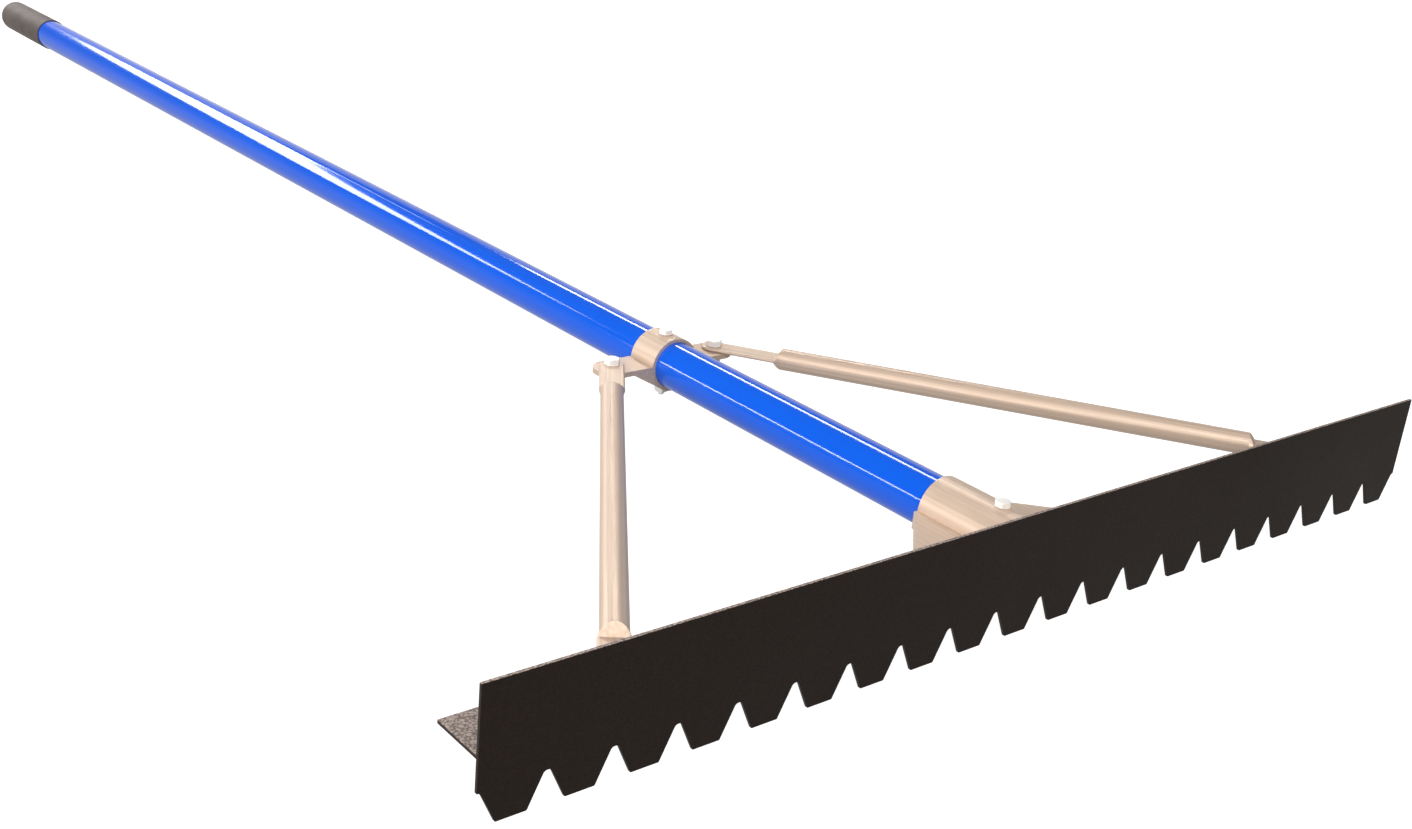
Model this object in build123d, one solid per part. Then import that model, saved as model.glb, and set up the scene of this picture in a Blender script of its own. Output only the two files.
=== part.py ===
from build123d import *
import math
import os

# Toothed spreading rake (lute) for concrete, mortar and asphalt: a T-section blade, a tube handle held in a
# winged socket, and two tube braces from a collar on the handle to the blade.
# Millimetres. +X runs along the blade, +Y from the blade to the grip end, +Z up.
# Z = 0 is at the tooth tips. X = 0 and Y = 0 are at the middle of the tool's width and length.
# Left is -X and front is -Y.

# Overall sizes
overall_length = 2133.6
blade_length = 914.4
blade_height = 90.5

# Blade
face_thickness = 2.5
shelf_thickness = 2.5
shelf_top = 45.7
shelf_reach = 43.0
inner_corner_round = 1.5
edge_round = 0.6
tooth_count = 20
tooth_depth = 22.2
tip_flat = 20.6
root_flat = 4.2
root_round = 2.8
tip_round = 1.0

# Handle tube and its end cap
handle_diameter = 41.3
handle_wall = 1.65
cap_wall = 1.35
cap_length = 168.0
cap_end_thickness = 4.0
cap_end_round = 7.0
cap_mouth_round = 0.5
cap_clearance = 0.02

# Winged ring section, which the socket and the collar are both cut from
ring_wall = 2.9
ring_clearance = 0.15
wing_thickness = 4.5
wing_drop = 3.0
web_start = 43.0

# Socket
socket_front_gap = 7.5
socket_length = 93.6
socket_half_span = 76.2
socket_corner_cut = 48.8
notch_clearance = 1.0
notch_corner_round = 2.5
tube_setback = 2.0
socket_bolt_from_face = 46.8
wing_bolt_offset = 60.0

# Collar
collar_center_from_face = 440.0
collar_length = 32.0
lug_bolt_offset = 55.9

# Braces
brace_diameter = 19.05
brace_wall = 1.5
tang_thickness = 3.0
tang_width = 21.8
upper_tang_length = 57.5
lower_tang_length = 43.5
crush_length = 5.8
blade_bolt_offset = 352.5
blade_bolt_from_face = 22.3

# Fasteners: shank, distance across flats, head height and nut height
handle_bolt = {"shank": 6.35, "flats": 11.1, "head": 4.4, "nut": 5.6}
brace_bolt = {"shank": 7.94, "flats": 12.7, "head": 5.3, "nut": 6.7}
hole_clearance = 0.2
thread_clearance = 0.03
thread_end = 3.0
washer_diameter = 17.5
washer_thickness = 1.6
spacer_diameter = 17.0
hex_corner_trim = 0.12

# Positions worked out from the sizes above
face_y = -overall_length / 2
shelf_rear_y = face_y + shelf_reach
tooth_pitch = blade_length / tooth_count
wing_bottom = shelf_top
wing_top = wing_bottom + wing_thickness
handle_height = wing_bottom + wing_drop
handle_radius = handle_diameter / 2
bore_radius = handle_radius + ring_clearance
ring_radius = bore_radius + ring_wall
socket_front_y = face_y + face_thickness + socket_front_gap
socket_rear_y = socket_front_y + socket_length
socket_bolt_y = face_y + socket_bolt_from_face
wing_bolt_y = (socket_front_y + shelf_rear_y) / 2
collar_y = face_y + collar_center_from_face
blade_bolt_y = face_y + blade_bolt_from_face
brace_height = wing_top + tang_thickness / 2
cap_end_y = overall_length / 2
tube_front_y = socket_front_y + tube_setback
tube_rear_y = cap_end_y - cap_end_thickness
cap_outer_radius = handle_radius + cap_clearance + cap_wall


def upright_cylinder(radius, x, y, bottom, top):
    return Pos(x, y, (bottom + top) / 2) * Cylinder(radius, top - bottom)


def level_cylinder(radius, front_y, rear_y):
    middle = Pos(0, (front_y + rear_y) / 2, handle_height)
    return middle * Rot(90, 0, 0) * Cylinder(radius, rear_y - front_y)


def plan_prism(points, bottom, top):
    outline = make_face(Polyline(*points, close=True))
    return extrude(Pos(0, 0, bottom) * outline, amount=top - bottom, dir=(0, 0, 1))


# Blade

def toothed_outline():
    half_pitch = tooth_pitch / 2
    points = [(-blade_length / 2, blade_height), (-blade_length / 2, tooth_depth)]
    for tooth in range(tooth_count):
        middle = (tooth + 0.5) * tooth_pitch - blade_length / 2
        points.append((middle - half_pitch + root_flat / 2, tooth_depth))
        points.append((middle - tip_flat / 2, 0))
        points.append((middle + tip_flat / 2, 0))
        points.append((middle + half_pitch - root_flat / 2, tooth_depth))
    points.append((blade_length / 2, tooth_depth))
    points.append((blade_length / 2, blade_height))
    outline = make_face(Polyline(*points, close=True))
    inside = blade_length / 2 - root_flat
    roots = [v for v in outline.vertices() if abs(v.Y - tooth_depth) < 0.01 and abs(v.X) < inside]
    outline = fillet(roots, root_round)
    tips = [v for v in outline.vertices() if abs(v.Y) < 0.01]
    return fillet(tips, tip_round)


def t_section():
    face = Pos(face_thickness / 2, blade_height / 2) * Rectangle(face_thickness, blade_height)
    shelf_middle = shelf_top - shelf_thickness / 2
    shelf = Pos(shelf_reach / 2, shelf_middle) * Rectangle(shelf_reach, shelf_thickness)
    section = face + shelf
    at_shelf = [v for v in section.vertices() if abs(v.Y - shelf_middle) < shelf_thickness]
    inner = [v for v in at_shelf if abs(v.X - face_thickness) < 0.01]
    section = fillet(inner, inner_corner_round)
    rims = [v for v in section.vertices() if v.X > shelf_reach - 0.01 or v.Y > blade_height - 0.01]
    return fillet(rims, edge_round)


def rake_blade():
    profile_plane = Plane(origin=(-blade_length / 2, face_y, 0), x_dir=(0, 1, 0), z_dir=(1, 0, 0))
    blade = extrude(profile_plane * t_section(), amount=blade_length)
    outline_plane = Plane(origin=(0, face_y, 0), x_dir=(1, 0, 0), z_dir=(0, -1, 0))
    teeth = extrude(outline_plane * toothed_outline(), amount=-shelf_reach)
    blade = blade & teeth
    blade = blade - shelf_notch()
    for side in (-1, 1):
        blade = blade - brace_bolt_hole(side * blade_bolt_offset, blade_bolt_y)
        blade = blade - brace_bolt_hole(side * wing_bolt_offset, wing_bolt_y)
    return blade


def shelf_notch():
    half_width = web_start + notch_clearance
    front = socket_front_y - notch_clearance
    rear = shelf_rear_y + notch_clearance
    middle = (0, (front + rear) / 2, shelf_top - shelf_thickness / 2)
    notch = Pos(*middle) * Box(2 * half_width, rear - front, 2 * shelf_thickness)
    corners = notch.edges().filter_by(Axis.Z).group_by(Axis.Y)[0]
    return fillet(corners, notch_corner_round)


def brace_bolt_hole(x, y):
    radius = brace_bolt["shank"] / 2 + hole_clearance
    return upright_cylinder(radius, x, y, shelf_top - 2 * shelf_thickness, wing_top + 2 * tang_thickness)


# Handle

def handle_bolt_hole(y):
    radius = handle_bolt["shank"] / 2 + hole_clearance
    reach = 2 * ring_radius
    return upright_cylinder(radius, 0, y, handle_height - reach, handle_height + reach)


def handle_tube():
    tube = level_cylinder(handle_radius, tube_front_y, tube_rear_y)
    tube = tube - level_cylinder(handle_radius - handle_wall, tube_front_y, tube_rear_y)
    return tube - handle_bolt_hole(socket_bolt_y) - handle_bolt_hole(collar_y)


def handle_end_cap():
    mouth_y = cap_end_y - cap_length
    cap = level_cylinder(cap_outer_radius, mouth_y, cap_end_y)
    rims = cap.edges().filter_by(GeomType.CIRCLE).sort_by(Axis.Y)
    cap = fillet(rims[-1], cap_end_round)
    rims = cap.edges().filter_by(GeomType.CIRCLE).sort_by(Axis.Y)
    cap = fillet(rims[0], cap_mouth_round)
    return cap - level_cylinder(handle_radius + cap_clearance, mouth_y, tube_rear_y)


# Socket and collar

def winged_section(half_span):
    wing_middle = wing_thickness / 2 - wing_drop
    section = Circle(ring_radius) + Pos(0, wing_middle) * Rectangle(2 * half_span, wing_thickness)
    reach = math.hypot(web_start, wing_drop)
    angle = -math.atan2(wing_drop, web_start) - math.acos(ring_radius / reach)
    touch = (ring_radius * math.cos(angle), ring_radius * math.sin(angle))
    for side in (-1, 1):
        web = [(0, 0), (side * touch[0], touch[1]), (side * web_start, -wing_drop), (side * web_start, 0)]
        section = section + make_face(Polyline(*web, close=True))
    return section - Circle(bore_radius)


def winged_bar(half_span, front_y, length):
    plane = Plane(origin=(0, front_y, handle_height), x_dir=(1, 0, 0), z_dir=(0, -1, 0))
    return extrude(plane * winged_section(half_span), amount=-length)


def handle_socket():
    bar = winged_bar(socket_half_span, socket_front_y, socket_length)
    side_y = socket_rear_y - socket_corner_cut
    rear_half = socket_half_span - socket_corner_cut
    plan = [(-socket_half_span, socket_front_y), (socket_half_span, socket_front_y),
            (socket_half_span, side_y), (rear_half, socket_rear_y),
            (-rear_half, socket_rear_y), (-socket_half_span, side_y)]
    below = handle_height - 2 * ring_radius
    above = handle_height + 2 * ring_radius
    socket = bar & plan_prism(plan, below, above)
    for side in (-1, 1):
        socket = socket - brace_bolt_hole(side * wing_bolt_offset, wing_bolt_y)
    return socket - handle_bolt_hole(socket_bolt_y)


def brace_collar():
    lug_radius = collar_length / 2
    below = handle_height - 2 * ring_radius
    above = handle_height + 2 * ring_radius
    bar = winged_bar(lug_bolt_offset + lug_radius, collar_y - lug_radius, collar_length)
    plan = Pos(0, collar_y, handle_height) * Box(2 * lug_bolt_offset, collar_length, above - below)
    for side in (-1, 1):
        plan = plan + upright_cylinder(lug_radius, side * lug_bolt_offset, collar_y, below, above)
    collar = bar & plan
    for side in (-1, 1):
        collar = collar - brace_bolt_hole(side * lug_bolt_offset, collar_y)
    return collar - handle_bolt_hole(collar_y)


# Braces

def brace_span():
    return math.hypot(blade_bolt_offset - lug_bolt_offset, blade_bolt_y - collar_y)


def crushed_rod():
    # A rod along +X from the collar bolt, with both ends sloping down to the thickness of the tangs.
    radius = brace_diameter / 2
    half_flat = tang_thickness / 2
    start = upper_tang_length
    end = brace_span() - lower_tang_length
    side_view = [(start, half_flat), (start + crush_length, radius), (end - crush_length, radius),
                 (end, half_flat), (end, -half_flat), (end - crush_length, -radius),
                 (start + crush_length, -radius), (start, -half_flat)]
    outline = make_face(Polyline(*side_view, close=True))
    slab = extrude(Plane.XZ * outline, amount=brace_diameter, both=True)
    rod = Pos((start + end) / 2, 0, 0) * Rot(0, 90, 0) * Cylinder(radius, end - start)
    return slab & rod


def tang(length):
    half_width = tang_width / 2
    neck = brace_diameter / 2
    outline = [(0, -half_width), (length, -half_width), (length + crush_length, -neck),
               (length + crush_length, neck), (length, half_width), (0, half_width)]
    plate = make_face(Polyline(*outline, close=True)) + Circle(half_width)
    return extrude(Pos(0, 0, -tang_thickness / 2) * plate, amount=tang_thickness, dir=(0, 0, 1))


def straight_brace():
    body = crushed_rod()
    body = body + tang(upper_tang_length)
    body = body + Pos(brace_span(), 0, 0) * Rot(0, 0, 180) * tang(lower_tang_length)
    hollow_start = upper_tang_length + crush_length
    hollow_end = brace_span() - lower_tang_length - crush_length
    hollow = Pos((hollow_start + hollow_end) / 2, 0, 0) * Rot(0, 90, 0)
    body = body - hollow * Cylinder(brace_diameter / 2 - brace_wall, hollow_end - hollow_start)
    for x in (0, brace_span()):
        radius = brace_bolt["shank"] / 2 + hole_clearance
        body = body - upright_cylinder(radius, x, 0, -tang_thickness, tang_thickness)
    return body


def brace(side):
    run = blade_bolt_y - collar_y
    heading = math.degrees(math.atan2(run, side * (blade_bolt_offset - lug_bolt_offset)))
    return Pos(side * lug_bolt_offset, collar_y, brace_height) * Rot(0, 0, heading) * straight_brace()


# Fasteners

def hex_block(size, bottom, height):
    corner = size["flats"] / math.sqrt(3)
    block = extrude(RegularPolygon(size["flats"] / 2, 6, major_radius=False), amount=height)
    trim = corner - size["flats"] / 2 + hex_corner_trim
    turned = Pos(0, 0, height / 2) * Cylinder(corner, height)
    rim = turned.edges().filter_by(GeomType.CIRCLE).sort_by(Axis.Z)[-1]
    turned = chamfer(rim, trim * math.tan(math.radians(30)), trim)
    return Pos(0, 0, bottom) * (block & turned)


def hex_bolt(size, x, y, seat, nut_bottom):
    tip = nut_bottom - thread_end
    shank = upright_cylinder(size["shank"] / 2, 0, 0, tip, seat)
    shank = chamfer(shank.edges().filter_by(GeomType.CIRCLE).sort_by(Axis.Z)[0], thread_end / 4)
    return Pos(x, y, 0) * (shank + hex_block(size, seat, size["head"]))


def hex_nut(size, x, y, top):
    block = Pos(0, 0, top) * Rot(180, 0, 0) * hex_block(size, 0, size["nut"])
    bore_size = size["shank"] / 2 + thread_clearance
    bore = upright_cylinder(bore_size, 0, 0, top - 2 * size["nut"], top + size["nut"])
    return Pos(x, y, 0) * (block - bore)


def flat_ring(x, y, bottom, top, outer_diameter):
    bore_size = brace_bolt["shank"] / 2 + hole_clearance
    ring = upright_cylinder(outer_diameter / 2, x, y, bottom, top)
    return ring - upright_cylinder(bore_size, x, y, bottom, top)


def bolted_joint(name, x, y, seat, underside):
    # A bolt from above, with a washer and a nut below the stack that it clamps.
    washer_bottom = underside - washer_thickness
    nut_bottom = washer_bottom - brace_bolt["nut"]
    side = "left" if x < 0 else "right"
    return {
        name + "_bolt_" + side: hex_bolt(brace_bolt, x, y, seat, nut_bottom),
        name + "_washer_" + side: flat_ring(x, y, washer_bottom, underside, washer_diameter),
        name + "_nut_" + side: hex_nut(brace_bolt, x, y, washer_bottom),
    }


def through_bolt(name, y):
    ring_bottom = handle_height - ring_radius
    nut_bottom = ring_bottom - handle_bolt["nut"]
    return {
        name + "_through_bolt": hex_bolt(handle_bolt, 0, y, handle_height + ring_radius, nut_bottom),
        name + "_through_nut": hex_nut(handle_bolt, 0, y, ring_bottom),
    }


def all_nodes():
    nodes = {
        "rake_blade": rake_blade(),
        "handle_tube": handle_tube(),
        "handle_end_cap": handle_end_cap(),
        "handle_socket": handle_socket(),
        "brace_collar": brace_collar(),
        "brace_left": brace(-1),
        "brace_right": brace(1),
    }
    nodes.update(through_bolt("socket", socket_bolt_y))
    nodes.update(through_bolt("collar", collar_y))
    shelf_bottom = shelf_top - shelf_thickness
    tang_top = wing_top + tang_thickness
    for side in (-1, 1):
        blade_x = side * blade_bolt_offset
        wing_x = side * wing_bolt_offset
        side_name = "left" if side < 0 else "right"
        nodes.update(bolted_joint("collar_brace", side * lug_bolt_offset, collar_y, tang_top, wing_bottom))
        nodes.update(bolted_joint("blade_brace", blade_x, blade_bolt_y, tang_top, shelf_bottom))
        nodes.update(bolted_joint("socket_wing", wing_x, wing_bolt_y, wing_top, shelf_bottom))
        spacer = flat_ring(blade_x, blade_bolt_y, shelf_top, wing_top, spacer_diameter)
        nodes["blade_brace_spacer_" + side_name] = spacer
    return nodes


os.makedirs("parts", exist_ok=True)
for node_name, shape in all_nodes().items():
    export_step(shape, "parts/" + node_name + ".step")
    print(node_name, round(shape.volume), "mm3")
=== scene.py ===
import math

import bmesh
import bpy
from mathutils import Matrix, Vector


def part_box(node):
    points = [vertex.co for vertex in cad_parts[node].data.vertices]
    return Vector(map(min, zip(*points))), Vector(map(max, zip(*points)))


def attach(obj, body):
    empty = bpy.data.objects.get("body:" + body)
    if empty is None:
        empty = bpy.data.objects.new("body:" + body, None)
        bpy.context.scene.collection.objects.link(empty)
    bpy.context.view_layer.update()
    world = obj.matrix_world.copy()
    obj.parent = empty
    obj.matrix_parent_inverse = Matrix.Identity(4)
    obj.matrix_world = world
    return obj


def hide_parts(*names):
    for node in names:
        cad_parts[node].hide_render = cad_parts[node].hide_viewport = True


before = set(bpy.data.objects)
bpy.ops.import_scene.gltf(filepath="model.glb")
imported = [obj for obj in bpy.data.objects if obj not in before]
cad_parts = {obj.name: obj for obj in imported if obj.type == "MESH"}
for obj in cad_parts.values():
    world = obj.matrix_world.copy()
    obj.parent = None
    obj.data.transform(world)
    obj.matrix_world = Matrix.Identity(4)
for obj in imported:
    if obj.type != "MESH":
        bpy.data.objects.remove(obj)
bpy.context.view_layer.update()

mm = 0.001
print("frame loaded:", len(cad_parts), "nodes")


def nodeMiddle(name):
    low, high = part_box(name)
    return (low + high) / 2


def newPiece(name, mesh):
    piece = bpy.data.objects.new(name, mesh)
    bpy.context.scene.collection.objects.link(piece)
    return piece


def finishPiece(piece, material, replaced):
    # every piece rides on the one body and stands for its own CAD nodes
    piece.data.materials.clear()
    piece.data.materials.append(material)
    for face in piece.data.polygons:
        face.material_index = 0
    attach(piece, "root")
    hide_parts(*replaced)


def bakeModifiers(piece):
    # swaps the piece's mesh for its evaluated one, so no modifier is left on it
    bpy.context.view_layer.update()
    graph = bpy.context.evaluated_depsgraph_get()
    baked = bpy.data.meshes.new_from_object(piece.evaluated_get(graph))
    piece.modifiers.clear()
    piece.data = baked


def softenEdges(piece, width):
    for face in piece.data.polygons:
        face.use_smooth = True
    bevel = piece.modifiers.new("softEdges", "BEVEL")
    bevel.width = width
    bevel.segments = 2
    bevel.limit_method = "ANGLE"
    bevel.angle_limit = math.radians(35)
    bevel.harden_normals = True
    bevel.use_clamp_overlap = True
    bakeModifiers(piece)


def smoothByAngle(piece, angle):
    piece.data.shade_smooth()
    piece.data.set_sharp_from_angle(angle=math.radians(angle))


def booleanWith(piece, tools, operation):
    for tool in tools:
        bpy.context.scene.collection.objects.link(tool)
        cut = piece.modifiers.new("cut", "BOOLEAN")
        cut.operation = operation
        cut.solver = "EXACT"
        cut.object = tool
        bakeModifiers(piece)
        bpy.data.objects.remove(tool)


def meshFromFaces(name, points, faces):
    mesh = bpy.data.meshes.new(name)
    mesh.from_pydata([tuple(p) for p in points], [], faces)
    mesh.update()
    return mesh


def prismMesh(name, outline, place, depth):
    # outline is a list of (u, v); place(u, v, w) gives a point; w runs from depth[0] to depth[1]
    count = len(outline)
    points = [place(u, v, w) for w in depth for u, v in outline]
    faces = [tuple(range(count)), tuple(range(2 * count - 1, count - 1, -1))]
    for i in range(count):
        j = (i + 1) % count
        faces.append((i, count + i, count + j, j))
    return outwardMesh(meshFromFaces(name, points, faces))


def outwardMesh(mesh):
    work = bmesh.new()
    work.from_mesh(mesh)
    bmesh.ops.remove_doubles(work, verts=work.verts, dist=1e-6)
    bmesh.ops.recalc_face_normals(work, faces=work.faces)
    work.to_mesh(mesh)
    work.free()
    return mesh


def roundedOutline(corners, steps=8):
    # corners are (u, v, radius); a corner with radius 0 stays sharp
    outline = []
    count = len(corners)
    for i in range(count):
        here = Vector(corners[i][:2])
        radius = corners[i][2]
        if radius <= 0:
            outline.append((here.x, here.y))
            continue
        toLast = (Vector(corners[i - 1][:2]) - here).normalized()
        toNext = (Vector(corners[(i + 1) % count][:2]) - here).normalized()
        halfAngle = toLast.angle(toNext) / 2
        reach = radius / math.tan(halfAngle)
        centre = here + (toLast + toNext).normalized() * radius / math.sin(halfAngle)
        start = here + toLast * reach - centre
        turn = math.pi - 2 * halfAngle
        if toLast.x * toNext.y - toLast.y * toNext.x > 0:
            turn = -turn
        for step in range(steps + 1):
            arm = start.copy()
            arm.rotate(Matrix.Rotation(turn * step / steps, 2))
            outline.append((centre.x + arm.x, centre.y + arm.y))
    return outline


def ringSkin(name, rings, closedLoop=False):
    # rings are equal lists of points; neighbours are joined by quads, and open ends are capped
    count = len(rings[0])
    points = [p for ring in rings for p in ring]
    faces = []
    last = len(rings) if closedLoop else len(rings) - 1
    for r in range(last):
        a = r * count
        b = ((r + 1) % len(rings)) * count
        for i in range(count):
            j = (i + 1) % count
            faces.append((a + i, a + j, b + j, b + i))
    if not closedLoop:
        faces.append(tuple(range(count)))
        faces.append(tuple(range(len(points) - 1, len(points) - count - 1, -1)))
    return outwardMesh(meshFromFaces(name, points, faces))


def cylinderTool(name, x, y, low, high, radius, segments=64):
    rings = []
    for z in (low, high):
        rings.append([(x + radius * math.cos(t), y + radius * math.sin(t), z) for t in turnAngles(segments)])
    return bpy.data.objects.new(name, ringSkin(name, rings))


def turnAngles(count):
    return [2 * math.pi * i / count for i in range(count)]


class TreeMaker:
    def __init__(self, name, inputs):
        self.tree = bpy.data.node_groups.new(name, "GeometryNodeTree")
        for label, kind, value in inputs:
            socket = self.tree.interface.new_socket(name=label, in_out="INPUT", socket_type=kind)
            if value is not None:
                socket.default_value = value
        self.tree.interface.new_socket(name="Geometry", in_out="OUTPUT", socket_type="NodeSocketGeometry")
        self.inputs = self.add("NodeGroupInput")
        self.output = self.add("NodeGroupOutput")

    def add(self, kind, **settings):
        node = self.tree.nodes.new(kind)
        for key, value in settings.items():
            setattr(node, key, value)
        return node

    def link(self, source, target):
        self.tree.links.new(source, target)

    def finish(self, geometry):
        realize = self.add("GeometryNodeRealizeInstances")
        paint = self.add("GeometryNodeSetMaterial")
        self.link(geometry, realize.inputs["Geometry"])
        self.link(realize.outputs["Geometry"], paint.inputs["Geometry"])
        self.link(self.inputs.outputs["Material"], paint.inputs["Material"])
        self.link(paint.outputs["Geometry"], self.output.inputs["Geometry"])
        return self.tree


def runTree(piece, tree, values):
    modifier = piece.modifiers.new(tree.name, "NODES")
    modifier.node_group = tree
    for item in tree.interface.items_tree:
        if item.item_type == "SOCKET" and item.in_out == "INPUT" and item.name in values:
            modifier[item.identifier] = values[item.name]
    bakeModifiers(piece)


def startMaterial(name, roughness, metallic):
    material = bpy.data.materials.new(name)
    material.use_nodes = True
    nodes = material.node_tree.nodes
    shader = nodes["Principled BSDF"]
    shader.inputs["Roughness"].default_value = roughness
    shader.inputs["Metallic"].default_value = metallic
    return material, nodes, material.node_tree.links, shader


def objectNoise(nodes, links, scale, detail, stretch=(1, 1, 1), turn=0.0):
    # the pattern is turned first and stretched after
    place = nodes.new("ShaderNodeTexCoord")
    turned = nodes.new("ShaderNodeMapping")
    turned.inputs["Rotation"].default_value = (0, 0, turn)
    stretched = nodes.new("ShaderNodeMapping")
    stretched.inputs["Scale"].default_value = stretch
    noise = nodes.new("ShaderNodeTexNoise")
    noise.inputs["Scale"].default_value = scale
    noise.inputs["Detail"].default_value = detail
    links.new(place.outputs["Object"], turned.inputs["Vector"])
    links.new(turned.outputs["Vector"], stretched.inputs["Vector"])
    links.new(stretched.outputs["Vector"], noise.inputs["Vector"])
    return noise.outputs["Fac"]


def colourRamp(nodes, links, factor, stops):
    ramp = nodes.new("ShaderNodeValToRGB")
    elements = ramp.color_ramp.elements
    elements[0].position, elements[0].color = stops[0][0], (*stops[0][1], 1)
    elements[1].position, elements[1].color = stops[-1][0], (*stops[-1][1], 1)
    for position, colour in stops[1:-1]:
        elements.new(position).color = (*colour, 1)
    links.new(factor, ramp.inputs["Fac"])
    return ramp.outputs["Color"]


def valueRange(nodes, links, factor, low, high, fromLow=0.3, fromHigh=0.7):
    spread = nodes.new("ShaderNodeMapRange")
    spread.inputs["From Min"].default_value = fromLow
    spread.inputs["From Max"].default_value = fromHigh
    spread.inputs["To Min"].default_value = low
    spread.inputs["To Max"].default_value = high
    links.new(factor, spread.inputs["Value"])
    return spread.outputs["Result"]


def multiplied(nodes, links, first, second):
    product = nodes.new("ShaderNodeMath")
    product.operation = "MULTIPLY"
    links.new(first, product.inputs[0])
    links.new(second, product.inputs[1])
    return product.outputs["Value"]


def mixedColour(nodes, links, share, first, second):
    mix = nodes.new("ShaderNodeMix")
    mix.data_type = "RGBA"
    links.new(share, mix.inputs["Factor"])
    links.new(first, mix.inputs["A"])
    links.new(second, mix.inputs["B"])
    return mix.outputs["Result"]


def addBump(nodes, links, shader, heights, distance, strength):
    last = None
    for height in heights:
        bump = nodes.new("ShaderNodeBump")
        bump.inputs["Distance"].default_value = distance
        bump.inputs["Strength"].default_value = strength
        links.new(height, bump.inputs["Height"])
        if last:
            links.new(last, bump.inputs["Normal"])
        last = bump.outputs["Normal"]
    links.new(last, shader.inputs["Normal"])


def texturedCoat():
    # fine-grained dark powder coat of the blade; the faces that look up are painted a paler, speckled glare
    # that stands in for light glancing off them
    material, nodes, links, shader = startMaterial("texturedCoat", 0.5, 0.0)
    grain = objectNoise(nodes, links, 1100, 2)
    speck = objectNoise(nodes, links, 620, 3)
    drift = objectNoise(nodes, links, 9, 2)
    dark = colourRamp(nodes, links, grain, [(0.3, (0.008, 0.0052, 0.004)), (0.7, (0.02, 0.0135, 0.0105))])
    # painted glare: a paler speckled colour for the faces that look up, standing in for light glancing off them
    paintedGlare = colourRamp(nodes, links, speck, [(0.36, (0.078, 0.062, 0.054)), (0.48, (0.2, 0.158, 0.14)),
                                            (0.62, (0.42, 0.342, 0.304))])
    surface = nodes.new("ShaderNodeNewGeometry")
    parts = nodes.new("ShaderNodeSeparateXYZ")
    links.new(surface.outputs["True Normal"], parts.inputs["Vector"])
    # painted glare share: grows as the face turns up, so top faces are painted paler by how light falls
    paintedGlareShare = valueRange(nodes, links, parts.outputs["Z"], 0.0, 1.0, 0.35, 0.85)
    links.new(mixedColour(nodes, links, paintedGlareShare, dark, paintedGlare), shader.inputs["Base Color"])
    links.new(valueRange(nodes, links, drift, 0.44, 0.54), shader.inputs["Roughness"])
    shader.inputs["Specular IOR Level"].default_value = 0.3
    shader.inputs["Specular Tint"].default_value = (1.0, 0.82, 0.72, 1)
    addBump(nodes, links, shader, [speck, grain], 0.2 * mm, 0.6)
    return material


def glossBlue():
    # smooth glossy blue coat of the handle
    material, nodes, links, shader = startMaterial("glossBlue", 0.12, 0.0)
    drift = objectNoise(nodes, links, 5, 2)
    speck = objectNoise(nodes, links, 900, 2)
    tone = colourRamp(nodes, links, drift, [(0.3, (0.001, 0.088, 0.64)), (0.7, (0.002, 0.098, 0.68))])
    links.new(tone, shader.inputs["Base Color"])
    links.new(valueRange(nodes, links, speck, 0.07, 0.11), shader.inputs["Roughness"])
    shader.inputs["Specular IOR Level"].default_value = 0.4
    return material


def drawnAluminium(name, turn):
    # bare aluminium with die lines; turn lays the lines along the piece
    material, nodes, links, shader = startMaterial(name, 0.46, 0.4)
    lines = objectNoise(nodes, links, 1, 4, (5, 1500, 1500), turn)
    bands = objectNoise(nodes, links, 1, 3, (3, 420, 420), turn)
    cloud = objectNoise(nodes, links, 22, 3)
    tone = colourRamp(nodes, links, bands, [(0.34, (0.55, 0.425, 0.333)), (0.5, (0.61, 0.475, 0.375)),
                                            (0.66, (0.67, 0.53, 0.422))])
    links.new(tone, shader.inputs["Base Color"])
    links.new(valueRange(nodes, links, cloud, 0.4, 0.52), shader.inputs["Roughness"])
    addBump(nodes, links, shader, [lines], 0.05 * mm, 0.6)
    return material


def zincSteel():
    # bright zinc plating
    material, nodes, links, shader = startMaterial("zincSteel", 0.4, 0.3)
    cloud = objectNoise(nodes, links, 160, 3)
    tone = colourRamp(nodes, links, cloud, [(0.3, (0.88, 0.88, 0.87)), (0.7, (0.97, 0.97, 0.97))])
    links.new(tone, shader.inputs["Base Color"])
    links.new(valueRange(nodes, links, cloud, 0.34, 0.46), shader.inputs["Roughness"])
    addBump(nodes, links, shader, [cloud], 0.02 * mm, 0.3)
    return material


def greyVinyl():
    # matte dipped vinyl of the end cap
    material, nodes, links, shader = startMaterial("greyVinyl", 0.62, 0.0)
    speck = objectNoise(nodes, links, 700, 3)
    cloud = objectNoise(nodes, links, 45, 4)
    tone = colourRamp(nodes, links, cloud, [(0.3, (0.043, 0.032, 0.028)), (0.7, (0.082, 0.062, 0.054))])
    links.new(tone, shader.inputs["Base Color"])
    links.new(valueRange(nodes, links, speck, 0.55, 0.72), shader.inputs["Roughness"])
    shader.inputs["Specular IOR Level"].default_value = 0.4
    shader.inputs["Sheen Weight"].default_value = 0.12
    shader.inputs["Sheen Roughness"].default_value = 0.4
    shader.inputs["Sheen Tint"].default_value = (1.0, 0.85, 0.78, 1)
    addBump(nodes, links, shader, [speck, cloud], 0.2 * mm, 0.6)
    return material


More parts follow.
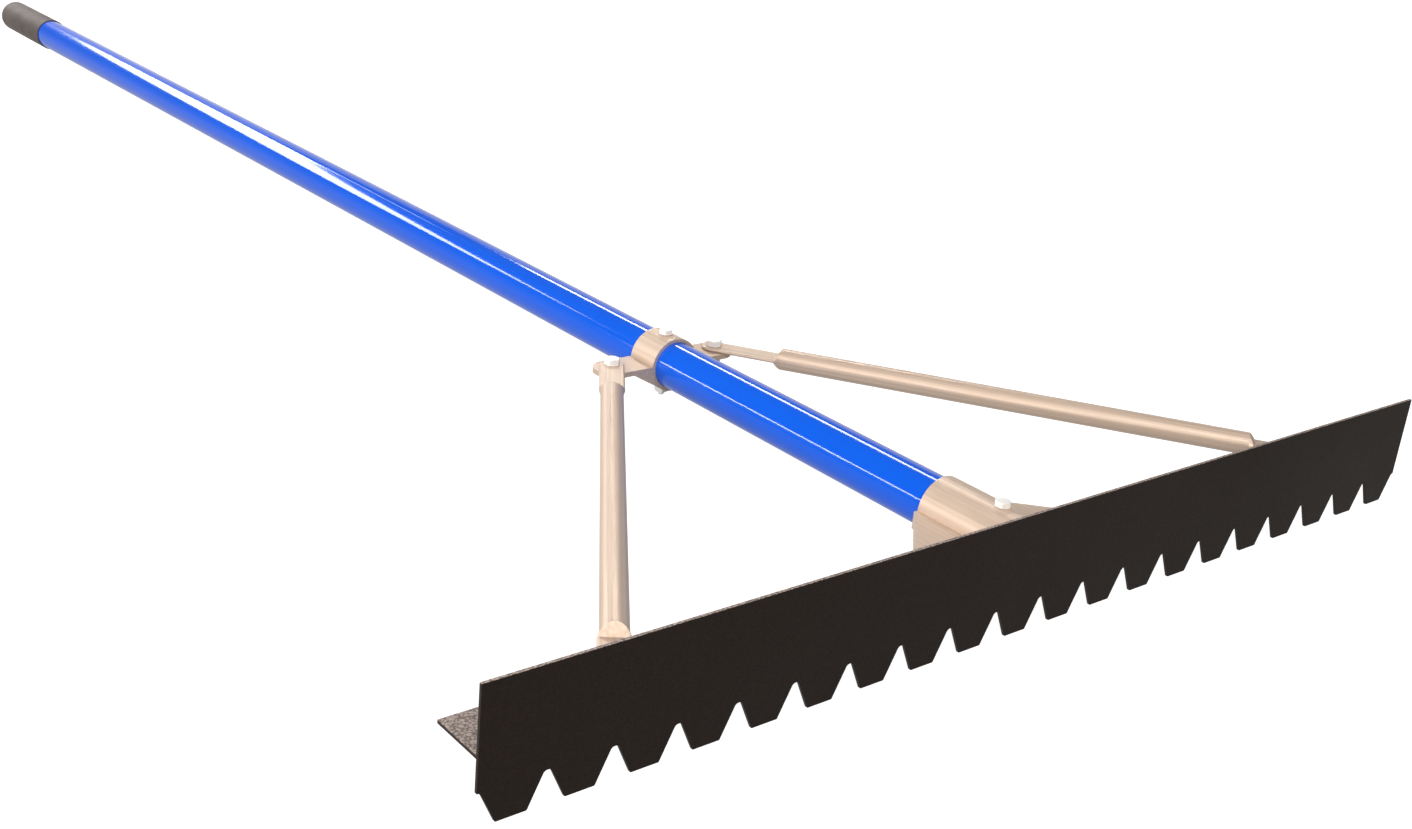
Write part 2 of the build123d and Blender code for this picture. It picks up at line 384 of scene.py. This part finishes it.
camera = {"place": (-0.8781, -1.7156, 0.5587), "lookAt": (-0.0161, -0.7095, 0.03), "roll": 5.514, "lens": 43.44}
floorLook = {"size": 40.0, "tone": 0.3, "glow": 0.92}
worldLook = {"below": 0.62, "above": 0.18, "front": 0.5}
softBoxes = {
    # place, facing, the way the long side runs, width, length, glow, colour
    "handleStrip": ((1.47, 1.75, 2.07), (-0.59, 0, -0.81), (0, 1, 0), 0.36, 2.2, 14.0, (1, 1, 1)),
    "farPanel": ((-1.27, 5.05, 2.3), (0, 0, -1), (0, 1, 0), 3.65, 2.3, 13.0, (1, 1, 1)),
    "farEdge": ((0.41, 3.5, 2.3), (0, 0, -1), (0.3, 1, 0), 0.12, 0.9, 5.0, (1, 1, 1)),
    "lowStrip": ((-2.6, 1.4, 0.65), (0.98, 0, -0.2), (0, 1, 0), 0.2, 1.7, 19.0, (1, 1, 1)),
    "backRight": ((2.9, 3.0, 1.0), (-0.6, -0.75, -0.2), (-0.72, 0.62, 0), 2.2, 7.0, 0.6, (1, 0.97, 0.94)),
    "cameraSide": ((-1.2, -3.6, 2.7), (0.2, 0.75, -0.6), (1, 0, 0), 2.2, 3.4, 4.4, (1, 0.97, 0.94)),
    "overhead": ((-0.3, -1.4, 3.4), (0, 0.2, -1), (0, 1, 0), 3.0, 2.2, 0.5, (1, 0.98, 0.96)),
    "leftSide": ((-3.2, -1.2, 1.2), (1, 0.1, -0.3), (0, 1, 0), 2.2, 2.2, 6.2, (1, 0.95, 0.9)),
}


def placeCamera():
    data = bpy.data.cameras.new("camera")
    data.lens = camera["lens"]
    data.sensor_width = 36
    data.clip_end = 60
    viewer = bpy.data.objects.new("camera", data)
    bpy.context.scene.collection.objects.link(viewer)
    place = Vector(camera["place"])
    toward = Vector(camera["lookAt"]) - place
    level = toward.to_track_quat("-Z", "Y").to_matrix().to_4x4()
    roll = Matrix.Rotation(math.radians(camera["roll"]), 4, "Z")
    viewer.matrix_world = Matrix.Translation(place) @ level @ roll
    bpy.context.scene.camera = viewer


def layFloor():
    half = floorLook["size"] / 2
    corners = [(-half, -half, 0), (half, -half, 0), (half, half, 0), (-half, half, 0)]
    floor = bpy.data.objects.new("floor", meshFromFaces("floor", corners, [(0, 1, 2, 3)]))
    bpy.context.scene.collection.objects.link(floor)
    material, nodes, links, shader = startMaterial("paleFloor", 0.8, 0.0)
    tone = floorLook["tone"]
    shader.inputs["Base Color"].default_value = (tone, tone, tone, 1)
    shader.inputs["Specular IOR Level"].default_value = 0.1
    shader.inputs["Emission Color"].default_value = (1, 1, 1, 1)
    shader.inputs["Emission Strength"].default_value = floorLook["glow"]
    floor.data.materials.append(material)
    # the floor takes soft shadows but throws no light back on the object
    floor.visible_glossy = False
    floor.visible_diffuse = False
    floor.visible_shadow = False


def hangSoftBoxes():
    for name, (place, facing, along, width, length, glow, colour) in softBoxes.items():
        data = bpy.data.lights.new(name, "AREA")
        data.shape = "RECTANGLE"
        data.size = width
        data.size_y = length
        data.energy = glow * math.pi * width * length
        data.color = colour
        lamp = bpy.data.objects.new(name, data)
        bpy.context.scene.collection.objects.link(lamp)
        # the lamp shines along its own -Z, and its long side is its Y
        away = -Vector(facing).normalized()
        side = Vector(along).cross(away).normalized()
        turn = Matrix((side, away.cross(side), away)).transposed().to_4x4()
        lamp.matrix_world = Matrix.Translation(place) @ turn


def lightWorld():
    # dim above, paler below and darkest towards the front, with a white backdrop
    world = bpy.data.worlds.new("studio")
    bpy.context.scene.world = world
    world.use_nodes = True
    nodes, links = world.node_tree.nodes, world.node_tree.links
    background = nodes["Background"]
    place = nodes.new("ShaderNodeTexCoord")
    parts = nodes.new("ShaderNodeSeparateXYZ")
    links.new(place.outputs["Generated"], parts.inputs["Vector"])
    below, above = worldLook["below"], worldLook["above"]
    rise = valueRange(nodes, links, parts.outputs["Z"], below, above, -0.15, 0.25)
    share = valueRange(nodes, links, parts.outputs["Y"], worldLook["front"], 1.0, -0.5, 0.1)
    level = multiplied(nodes, links, rise, share)
    path = nodes.new("ShaderNodeLightPath")
    seen = nodes.new("ShaderNodeMix")
    seen.data_type = "FLOAT"
    seen.inputs["B"].default_value = 1.0
    links.new(path.outputs["Is Camera Ray"], seen.inputs["Factor"])
    links.new(level, seen.inputs["A"])
    links.new(seen.outputs["Result"], background.inputs["Strength"])
    background.inputs["Color"].default_value = (1, 1, 1, 1)


placeCamera()
layFloor()
hangSoftBoxes()
lightWorld()
bpy.context.scene.view_settings.view_transform = "Standard"
print("camera, floor and lights are set")


blade = {
    "toothCount": 20,
    "toothDepth": 22.2 * mm,
    "tipFlat": 20.6 * mm,
    "tipRound": 1.0 * mm,
    "rootFlat": 4.2 * mm,
    "rootRound": 2.8 * mm,
    "faceThickness": 2.5 * mm,
    "shelfTop": 45.7 * mm,
    "shelfThickness": 2.5 * mm,
    "notchHalf": 44.0 * mm,
    "notchFront": 9.0 * mm,
    "notchRound": 2.5 * mm,
    "edgeRound": 0.45 * mm,
}


def toothRowTree():
    maker = TreeMaker("toothRow", [
        ("Geometry", "NodeSocketGeometry", None),
        ("Tooth Count", "NodeSocketInt", 20),
        ("Pitch", "NodeSocketFloat", 0.045),
        ("Thickness", "NodeSocketFloat", 0.0025),
        ("Material", "NodeSocketMaterial", None),
    ])
    # the first tooth stands half a row to the left
    gaps = maker.add("ShaderNodeMath", operation="SUBTRACT")
    gaps.inputs[1].default_value = 1
    span = maker.add("ShaderNodeMath", operation="MULTIPLY")
    start = maker.add("ShaderNodeMath", operation="MULTIPLY")
    start.inputs[1].default_value = -0.5
    startPoint = maker.add("ShaderNodeCombineXYZ")
    stepVector = maker.add("ShaderNodeCombineXYZ")
    maker.link(maker.inputs.outputs["Tooth Count"], gaps.inputs[0])
    maker.link(gaps.outputs[0], span.inputs[0])
    maker.link(maker.inputs.outputs["Pitch"], span.inputs[1])
    maker.link(span.outputs[0], start.inputs[0])
    maker.link(start.outputs[0], startPoint.inputs["X"])
    maker.link(maker.inputs.outputs["Pitch"], stepVector.inputs["X"])
    row = maker.add("GeometryNodeMeshLine", mode="OFFSET")
    maker.link(maker.inputs.outputs["Tooth Count"], row.inputs["Count"])
    maker.link(startPoint.outputs[0], row.inputs["Start Location"])
    maker.link(stepVector.outputs[0], row.inputs["Offset"])
    copies = maker.add("GeometryNodeInstanceOnPoints")
    maker.link(row.outputs["Mesh"], copies.inputs["Points"])
    maker.link(maker.inputs.outputs["Geometry"], copies.inputs["Instance"])
    sheet = maker.add("GeometryNodeRealizeInstances")
    weld = maker.add("GeometryNodeMergeByDistance")
    weld.inputs["Distance"].default_value = 0.00001
    maker.link(copies.outputs["Instances"], sheet.inputs["Geometry"])
    maker.link(sheet.outputs["Geometry"], weld.inputs["Geometry"])
    depth = maker.add("ShaderNodeCombineXYZ")
    push = maker.add("GeometryNodeExtrudeMesh", mode="FACES")
    push.inputs["Individual"].default_value = False
    push.inputs["Offset Scale"].default_value = 1
    maker.link(maker.inputs.outputs["Thickness"], depth.inputs["Y"])
    maker.link(weld.outputs["Geometry"], push.inputs["Mesh"])
    maker.link(depth.outputs[0], push.inputs["Offset"])
    front = maker.add("GeometryNodeFlipFaces")
    both = maker.add("GeometryNodeJoinGeometry")
    close = maker.add("GeometryNodeMergeByDistance")
    close.inputs["Distance"].default_value = 0.00001
    maker.link(weld.outputs["Geometry"], front.inputs["Mesh"])
    maker.link(push.outputs["Mesh"], both.inputs["Geometry"])
    maker.link(front.outputs["Mesh"], both.inputs["Geometry"])
    maker.link(both.outputs["Geometry"], close.inputs["Geometry"])
    return maker.finish(close.outputs["Geometry"])


def toothCell(pitch, height, faceY):
    # one tooth with its share of the face, as a flat sheet whose normal points back
    tip, root, depth = blade["tipFlat"] / 2, blade["rootFlat"] / 2, blade["toothDepth"]
    half = pitch / 2
    corners = [(-half, height, 0), (-half, depth, 0), (-half + root, depth, blade["rootRound"]),
               (-tip, 0, blade["tipRound"]), (tip, 0, blade["tipRound"]),
               (half - root, depth, blade["rootRound"]), (half, depth, 0), (half, height, 0)]
    outline = roundedOutline(corners)
    mesh = meshFromFaces("toothCell", [(x, faceY, z) for x, z in outline], [tuple(range(len(outline)))])
    if mesh.polygons[0].normal.y < 0:
        mesh.flip_normals()
    return mesh


def buildBlade(material):
    low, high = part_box("rake_blade")
    pitch = (high.x - low.x) / blade["toothCount"]
    piece = newPiece("toothedBlade", toothCell(pitch, high.z, low.y))
    runTree(piece, toothRowTree(), {"Tooth Count": blade["toothCount"], "Pitch": pitch,
                                    "Thickness": blade["faceThickness"], "Material": material})
    front = low.y + blade["faceThickness"] / 2
    notchFront = low.y + blade["notchFront"]
    notch = blade["notchHalf"]
    plan = roundedOutline([(low.x, front, 0), (high.x, front, 0), (high.x, high.y, 0), (notch, high.y, 0),
                           (notch, notchFront, blade["notchRound"]), (-notch, notchFront, blade["notchRound"]),
                           (-notch, high.y, 0), (low.x, high.y, 0)])
    shelfLow = blade["shelfTop"] - blade["shelfThickness"]
    shelf = prismMesh("shelf", plan, lambda u, v, w: (u, v, w), (shelfLow, blade["shelfTop"]))
    booleanWith(piece, [bpy.data.objects.new("shelf", shelf)], "UNION")
    holes = []
    for side in ("left", "right"):
        for node in ("blade_brace_bolt_", "socket_wing_bolt_"):
            middle = nodeMiddle(node + side)
            holes.append(cylinderTool("hole", middle.x, middle.y, shelfLow - mm, blade["shelfTop"] + mm,
                                      fastener["brace"]["shank"] / 2 + fastener["holeClearance"]))
    booleanWith(piece, holes, "DIFFERENCE")
    softenEdges(piece, blade["edgeRound"])
    finishPiece(piece, material, ["rake_blade"])


handle = {"wall": 1.65 * mm, "segments": 160, "endRound": 0.4 * mm}
endCap = {"wall": 1.35 * mm, "bottom": 4.0 * mm, "endRound": 7.0 * mm, "lipRound": 0.5 * mm, "dome": 1.2 * mm,
          "segments": 128, "lipSteps": 6, "bendSteps": 16, "domeSteps": 8, "pole": 0.02 * mm}


def lathe(name, profile, axisZ, segments):
    # profile is a closed loop of (y, radius), turned about the handle's axis
    rings = []
    for y, radius in profile:
        rings.append([(radius * math.cos(t), y, axisZ + radius * math.sin(t)) for t in turnAngles(segments)])
    return ringSkin(name, rings, closedLoop=True)


def buildHandle(material):
    low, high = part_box("handle_tube")
    radius = (high.x - low.x) / 2
    axisZ = (low.z + high.z) / 2
    inner, soft = radius - handle["wall"], handle["endRound"]
    loop = [(low.y + soft, radius), (high.y - soft, radius), (high.y, radius - soft), (high.y, inner + soft),
            (high.y - soft, inner), (low.y + soft, inner), (low.y, inner + soft), (low.y, radius - soft)]
    piece = newPiece("handleTube", lathe("handleTube", loop, axisZ, handle["segments"]))
    holes = []
    for node in ("socket_through_bolt", "collar_through_bolt"):
        middle = nodeMiddle(node)
        holes.append(cylinderTool("hole", 0, middle.y, low.z - mm, high.z + mm,
                                  fastener["through"]["shank"] / 2 + fastener["holeClearance"]))
    booleanWith(piece, holes, "DIFFERENCE")
    smoothByAngle(piece, 40)
    finishPiece(piece, material, ["handle_tube"])


def buildEndCap(material):
    low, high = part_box("handle_end_cap")
    radius = (high.x - low.x) / 2
    axisZ = (low.z + high.z) / 2
    inner, lip, bend = radius - endCap["wall"], endCap["lipRound"], endCap["endRound"]
    loop = []
    for step in range(endCap["lipSteps"] + 1):
        t = math.pi / 2 * step / endCap["lipSteps"]
        loop.append((low.y + lip - lip * math.cos(t), radius - lip + lip * math.sin(t)))
    for step in range(endCap["bendSteps"] + 1):
        t = math.pi / 2 * step / endCap["bendSteps"]
        loop.append((high.y - endCap["dome"] - bend + bend * math.sin(t), radius - bend + bend * math.cos(t)))
    flat = radius - bend
    for step in range(1, endCap["domeSteps"] + 1):
        share = 1 - step / endCap["domeSteps"]
        loop.append((high.y - endCap["dome"] * share * share, max(flat * share, endCap["pole"])))
    loop.append((high.y - endCap["bottom"], endCap["pole"]))
    loop.append((high.y - endCap["bottom"], inner - mm))
    loop.append((high.y - endCap["bottom"] - mm, inner))
    loop.append((low.y, inner))
    piece = newPiece("gripCap", lathe("gripCap", loop, axisZ, endCap["segments"]))
    smoothByAngle(piece, 50)
    finishPiece(piece, material, ["handle_end_cap"])


wingedBar = {"wall": 2.9 * mm, "clearance": 0.15 * mm, "wingThickness": 4.5 * mm, "wingDrop": 3.0 * mm,
             "webStart": 43.0 * mm, "cornerCut": 48.8 * mm, "edgeRound": 0.4 * mm, "steps": 72,
             "boreSegments": 144, "lugSteps": 32, "holeReach": 20.0 * mm}


def wingedOutline(halfSpan, ringRadius):
    drop, web = wingedBar["wingDrop"], wingedBar["webStart"]
    top = wingedBar["wingThickness"] - drop
    reach = math.hypot(web, drop)
    touch = -math.atan2(drop, web) - math.acos(ringRadius / reach)
    rise = math.asin(top / ringRadius)
    steps = wingedBar["steps"]
    outline = [(halfSpan, -drop), (halfSpan, top)]
    for step in range(steps + 1):
        t = rise + (math.pi - 2 * rise) * step / steps
        outline.append((ringRadius * math.cos(t), ringRadius * math.sin(t)))
    outline += [(-halfSpan, top), (-halfSpan, -drop), (-web, -drop)]
    for step in range(steps // 2 + 1):
        t = math.pi - touch + (2 * touch + math.pi) * step / (steps // 2)
        outline.append((ringRadius * math.cos(t), ringRadius * math.sin(t)))
    outline.append((web, -drop))
    return outline


def buildWingedPart(name, node, material, plan, boltNodes, throughNode):
    low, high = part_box(node)
    axisZ = nodeMiddle("handle_tube").z
    tubeLow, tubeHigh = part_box("handle_tube")
    bore = (tubeHigh.x - tubeLow.x) / 2 + wingedBar["clearance"]
    ringRadius = bore + wingedBar["wall"]
    outline = wingedOutline(high.x, ringRadius)
    mesh = prismMesh(name, outline, lambda u, v, w: (u, w, axisZ + v), (low.y, high.y))
    piece = newPiece(name, mesh)
    boreRings = []
    for y in (low.y - mm, high.y + mm):
        around = turnAngles(wingedBar["boreSegments"])
        boreRings.append([(bore * math.cos(t), y, axisZ + bore * math.sin(t)) for t in around])
    tools = [bpy.data.objects.new("bore", ringSkin("bore", boreRings))]
    holeReach = wingedBar["holeReach"]
    for bolt in boltNodes:
        middle = nodeMiddle(bolt)
        tools.append(cylinderTool("hole", middle.x, middle.y, axisZ - holeReach, axisZ + holeReach,
                                  fastener["brace"]["shank"] / 2 + fastener["holeClearance"]))
    tools.append(cylinderTool("hole", 0, nodeMiddle(throughNode).y, low.z - mm, high.z + mm,
                              fastener["through"]["shank"] / 2 + fastener["holeClearance"]))
    booleanWith(piece, tools, "DIFFERENCE")
    planMesh = prismMesh("plan", plan, lambda u, v, w: (u, v, w), (low.z - mm, high.z + mm))
    booleanWith(piece, [bpy.data.objects.new("plan", planMesh)], "INTERSECT")
    softenEdges(piece, wingedBar["edgeRound"])
    finishPiece(piece, material, [node])


def buildSocket(material):
    low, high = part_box("handle_socket")
    cut = wingedBar["cornerCut"]
    plan = [(low.x - mm, low.y - mm), (high.x + mm, low.y - mm), (high.x + mm, high.y - cut - mm),
            (high.x - cut - mm, high.y + mm), (low.x + cut + mm, high.y + mm), (low.x - mm, high.y - cut - mm)]
    bolts = ["socket_wing_bolt_left", "socket_wing_bolt_right"]
    buildWingedPart("wingedSocket", "handle_socket", material, plan, bolts, "socket_through_bolt")


def buildCollar(material):
    low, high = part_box("brace_collar")
    lug = (high.y - low.y) / 2
    centreY = (low.y + high.y) / 2
    plan = []
    for side in (1, -1):
        for step in range(wingedBar["lugSteps"] + 1):
            t = math.pi * (step / wingedBar["lugSteps"] - 0.5)
            plan.append((side * (high.x - lug + lug * math.cos(t)), centreY + side * lug * math.sin(t)))
    bolts = ["collar_brace_bolt_left", "collar_brace_bolt_right"]
    buildWingedPart("braceCollar", "brace_collar", material, plan, bolts, "collar_through_bolt")


braceSize = {"diameter": 19.05 * mm, "tangThickness": 3.0 * mm, "tangWidth": 21.8 * mm, "upperTang": 57.5 * mm,
             "lowerTang": 43.5 * mm, "crush": 5.8 * mm, "around": 144, "noseSteps": 14, "crushSteps": 22,
             "edgeShare": 0.9, "noseWidth": 0.9 * mm}


def braceRing(distance, halfWidth, halfHeight, edge):
    # a circle clipped flat top and bottom; edge rounds the long sides of the flat tang
    radius = braceSize["diameter"] / 2
    ring = []
    for t in turnAngles(braceSize["around"]):
        z = radius * math.sin(t)
        clip = math.sqrt(max(0.0, 1 - (halfHeight / radius) ** 2)) * halfWidth
        if abs(z) < halfHeight:
            lift = math.asin(z / halfHeight)
            side = halfWidth * math.sqrt(1 - (z / radius) ** 2) - edge * (1 - math.cos(lift))
            x = math.copysign(max(side, 0.0), math.cos(t))
        else:
            z = math.copysign(halfHeight, z)
            x = halfWidth * math.cos(t) * (max(clip - edge, 0.0) / clip if clip > 0 else 1)
        ring.append((distance, x, z))
    return ring


def braceStations(span):
    # (distance, half width, half height, edge) from one nose to the other
    radius, flat = braceSize["diameter"] / 2, braceSize["tangThickness"] / 2
    nose, crush, edge = braceSize["tangWidth"] / 2, braceSize["crush"], braceSize["edgeShare"]
    stations = []
    for end, tang in ((0, braceSize["upperTang"]), (1, braceSize["lowerTang"])):
        part = []
        for step in range(braceSize["noseSteps"] + 1):
            t = math.pi / 2 * step / braceSize["noseSteps"]
            width = max(nose * math.sin(t), braceSize["noseWidth"])
            height = flat * min(1.0, 0.35 + 0.65 * math.sqrt(min(1.0, 4 * step / braceSize["noseSteps"])))
            part.append((-nose * math.cos(t), width, height, min(flat, width) * edge))
        part.append((tang - mm, nose, flat, flat * edge))
        for step in range(braceSize["crushSteps"] + 1):
            share = step / braceSize["crushSteps"]
            ease = share * share * (3 - 2 * share)
            part.append((tang + crush * share, nose + (radius - nose) * ease, flat + (radius - flat) * share,
                         flat * edge * (1 - share) ** 2))
        if end == 0:
            stations += part
        else:
            stations += [(span - d, w, h, e) for d, w, h, e in reversed(part)]
    return stations


def buildBrace(name):
    upper = nodeMiddle("collar_brace_bolt_" + name)
    lower = nodeMiddle("blade_brace_bolt_" + name)
    run = Vector((lower.x - upper.x, lower.y - upper.y))
    low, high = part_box("brace_" + name)
    axisZ = (low.z + high.z) / 2
    rings = [braceRing(*station) for station in braceStations(run.length)]
    mesh = ringSkin("brace", rings)
    heading = math.atan2(run.y, run.x)
    mesh.transform(Matrix.Translation((upper.x, upper.y, axisZ)) @ Matrix.Rotation(heading, 4, "Z"))
    piece = newPiece(name + "Brace", mesh)
    holes = []
    holeReach = 4 * mm
    for bolt in (upper, lower):
        holes.append(cylinderTool("hole", bolt.x, bolt.y, axisZ - holeReach, axisZ + holeReach,
                                  fastener["brace"]["shank"] / 2 + fastener["holeClearance"]))
    booleanWith(piece, holes, "DIFFERENCE")
    smoothByAngle(piece, 28)
    # the die lines follow the brace
    material = drawnAluminium(name + "BraceAluminium", -heading)
    finishPiece(piece, material, ["brace_" + name])


fastener = {
    "brace": {"shank": 7.94 * mm, "flats": 12.7 * mm, "head": 5.3 * mm, "nut": 6.7 * mm, "pitch": 1.41 * mm},
    "through": {"shank": 6.35 * mm, "flats": 11.1 * mm, "head": 4.4 * mm, "nut": 5.6 * mm, "pitch": 1.27 * mm},
    "holeClearance": 0.2 * mm,
    "threadDepth": 0.42 * mm,
    "chamfer": 30,
    "around": 96,
    "chamferSteps": 8,
    "faceShare": 0.94,
    "seatShare": 0.95,
    "seatLift": 0.4 * mm,
    "turnSteps": 8,
    "tipLength": 0.8 * mm,
    "tipRound": 0.5 * mm,
    "boreClearance": 0.03 * mm,
    "boreMouth": 0.5 * mm,
    "rimRound": 0.2 * mm,
    "washer": 17.5 * mm,
    "spacer": 17.0 * mm,
}


def hexRadius(t, flats):
    sector = math.pi / 3
    return flats / 2 / math.cos((t + sector / 2) % sector - sector / 2)


def hexRing(z, flats, limit):
    ring = []
    for t in turnAngles(fastener["around"]):
        radius = min(hexRadius(t, flats), limit)
        ring.append((radius * math.cos(t), radius * math.sin(t), z))
    return ring


def chamferRings(start, step, flats):
    # rings from the end face of a hexagon to where its chamfer runs out; step is +1 upwards or -1 downwards
    corner = flats / math.sqrt(3)
    face = fastener["faceShare"] * flats / 2
    slope = math.tan(math.radians(fastener["chamfer"]))
    rings = []
    for i in range(fastener["chamferSteps"] + 1):
        limit = face + (corner - face) * i / fastener["chamferSteps"]
        rings.append(hexRing(start + step * (limit - face) * slope, flats, limit))
    return rings


def threadRing(z, radius, pitch):
    ring = []
    for t in turnAngles(fastener["around"] // 2):
        phase = (z / pitch - t / (2 * math.pi)) % 1
        r = radius - fastener["threadDepth"] * abs(2 * phase - 1)
        ring.append((r * math.cos(t), r * math.sin(t), z))
    return ring


def hexBoltMesh(size, tip):
    # seat at z = 0, head above; tip is the negative height of the shank's end
    flats, head = size["flats"], size["head"]
    rings = chamferRings(head, -1, flats)
    seatRadius = fastener["seatShare"] * flats / 2
    rings.append(hexRing(fastener["seatLift"], flats, flats))
    rings.append(hexRing(fastener["seatLift"], flats, seatRadius))
    rings.append(hexRing(0.0, flats, seatRadius))
    headMesh = ringSkin("head", rings)
    shankRings = []
    radius = size["shank"] / 2
    threadTop = tip + 2 * size["nut"]
    around = turnAngles(fastener["around"] // 2)
    shankRings.append([(radius * math.cos(t), radius * math.sin(t), 0.2 * mm) for t in around])
    shankRings.append([(radius * math.cos(t), radius * math.sin(t), threadTop + mm) for t in around])
    length = threadTop - tip - fastener["tipLength"]
    steps = int(length / (size["pitch"] / fastener["turnSteps"]))
    for i in range(steps + 1):
        z = threadTop - length * i / steps
        shankRings.append(threadRing(z, radius, size["pitch"]))
    end = radius - fastener["threadDepth"] - fastener["tipRound"]
    shankRings.append([(end * math.cos(t), end * math.sin(t), tip) for t in around])
    shankMesh = ringSkin("shank", shankRings)
    return joinedMesh("hexBolt", [headMesh, shankMesh])


def joinedMesh(name, meshes):
    work = bmesh.new()
    for mesh in meshes:
        work.from_mesh(mesh)
        bpy.data.meshes.remove(mesh)
    joined = bpy.data.meshes.new(name)
    work.to_mesh(joined)
    work.free()
    return joined


def hexNutMesh(size):
    # top face at z = 0
    flats, height = size["flats"], size["nut"]
    bore = size["shank"] / 2 + fastener["boreClearance"]
    rings = chamferRings(0, -1, flats)
    rings += list(reversed(chamferRings(-height, 1, flats)))
    flare = fastener["boreMouth"]
    mouth = bore + flare
    for z, radius in ((-height, mouth), (-height + flare, bore), (-flare, bore), (0, mouth)):
        rings.append(hexRing(z, flats, radius))
    return ringSkin("hexNut", rings, closedLoop=True)


def flatRingMesh(name, outer, bore, height):
    # underside at z = 0, with small rounds on the rims
    soft = fastener["rimRound"]
    loop = [(outer - soft, 0), (outer, soft), (outer, height - soft), (outer - soft, height),
            (bore + soft, height), (bore, height - soft), (bore, soft), (bore + soft, 0)]
    rings = []
    for radius, z in loop:
        rings.append([(radius * math.cos(t), radius * math.sin(t), z) for t in turnAngles(fastener["around"])])
    return ringSkin(name, rings, closedLoop=True)


def pairTree():
    maker = TreeMaker("fastenerPair", [
        ("Geometry", "NodeSocketGeometry", None),
        ("Count", "NodeSocketInt", 2),
        ("Half Spread", "NodeSocketFloat", 0.05),
        ("Along", "NodeSocketFloat", 0.0),
        ("Seat Height", "NodeSocketFloat", 0.0),
        ("Turn", "NodeSocketFloat", 0.0),
        ("Material", "NodeSocketMaterial", None),
    ])
    left = maker.add("ShaderNodeMath", operation="MULTIPLY")
    left.inputs[1].default_value = -1
    start = maker.add("ShaderNodeCombineXYZ")
    end = maker.add("ShaderNodeCombineXYZ")
    turn = maker.add("ShaderNodeCombineXYZ")
    maker.link(maker.inputs.outputs["Half Spread"], left.inputs[0])
    maker.link(left.outputs[0], start.inputs["X"])
    maker.link(maker.inputs.outputs["Half Spread"], end.inputs["X"])
    for corner in (start, end):
        maker.link(maker.inputs.outputs["Along"], corner.inputs["Y"])
        maker.link(maker.inputs.outputs["Seat Height"], corner.inputs["Z"])
    maker.link(maker.inputs.outputs["Turn"], turn.inputs["Z"])
    line = maker.add("GeometryNodeMeshLine", mode="END_POINTS")
    maker.link(maker.inputs.outputs["Count"], line.inputs["Count"])
    maker.link(start.outputs[0], line.inputs["Start Location"])
    maker.link(end.outputs[0], line.inputs["Offset"])
    copies = maker.add("GeometryNodeInstanceOnPoints")
    maker.link(line.outputs["Mesh"], copies.inputs["Points"])
    maker.link(maker.inputs.outputs["Geometry"], copies.inputs["Instance"])
    maker.link(turn.outputs[0], copies.inputs["Rotation"])
    return maker.finish(copies.outputs["Instances"])


def placeFastener(tree, name, mesh, nodes, spread, along, seat, turn, material):
    piece = newPiece(name, mesh)
    runTree(piece, tree, {"Count": len(nodes), "Half Spread": spread, "Along": along, "Seat Height": seat,
                          "Turn": math.radians(turn), "Material": material})
    smoothByAngle(piece, 28)
    finishPiece(piece, material, nodes)


def buildFasteners(zinc, aluminium):
    tree = pairTree()
    bolt = fastener["brace"]
    bore = bolt["shank"] / 2 + fastener["holeClearance"]
    for name, turn in (("collar_brace", 12), ("blade_brace", 31), ("socket_wing", 3)):
        boltLow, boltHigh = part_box(name + "_bolt_right")
        washerLow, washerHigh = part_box(name + "_washer_right")
        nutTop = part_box(name + "_nut_right")[1].z
        middle = nodeMiddle(name + "_bolt_right")
        seat = boltHigh.z - bolt["head"]
        label = name.split("_")[0] + name.split("_")[1].capitalize()
        pairs = [
            ("Bolts", hexBoltMesh(bolt, boltLow.z - seat), "bolt", seat, turn),
            ("Washers", flatRingMesh("washer", fastener["washer"] / 2, bore, washerHigh.z - washerLow.z),
             "washer", washerLow.z, 0),
            ("Nuts", hexNutMesh(bolt), "nut", nutTop, turn + 17),
        ]
        for suffix, mesh, kind, height, spin in pairs:
            nodes = [name + "_" + kind + "_left", name + "_" + kind + "_right"]
            placeFastener(tree, label + suffix, mesh, nodes, middle.x, middle.y, height, spin, zinc)
    low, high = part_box("blade_brace_spacer_right")
    middle = nodeMiddle("blade_brace_spacer_right")
    mesh = flatRingMesh("spacer", fastener["spacer"] / 2, bore, high.z - low.z)
    nodes = ["blade_brace_spacer_left", "blade_brace_spacer_right"]
    placeFastener(tree, "braceSpacers", mesh, nodes, middle.x, middle.y, low.z, 0, aluminium)
    through = fastener["through"]
    for name, turn in (("socket", 8), ("collar", 21)):
        boltLow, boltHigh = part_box(name + "_through_bolt")
        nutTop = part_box(name + "_through_nut")[1].z
        along = nodeMiddle(name + "_through_bolt").y
        seat = boltHigh.z - through["head"]
        placeFastener(tree, name + "ThroughBolt", hexBoltMesh(through, boltLow.z - seat),
                      [name + "_through_bolt"], 0.0, along, seat, turn, zinc)
        placeFastener(tree, name + "ThroughNut", hexNutMesh(through), [name + "_through_nut"],
                      0.0, along, nutTop, turn + 11, zinc)


buildBlade(texturedCoat())
print("blade done")
buildHandle(glossBlue())
buildEndCap(greyVinyl())
print("handle and end cap done")
alongHandle = drawnAluminium("drawnAluminium", math.radians(-90))
buildSocket(alongHandle)
buildCollar(alongHandle)
print("socket and collar done")
buildBrace("left")
buildBrace("right")
print("braces done")
buildFasteners(zincSteel(), alongHandle)
print("fasteners done")
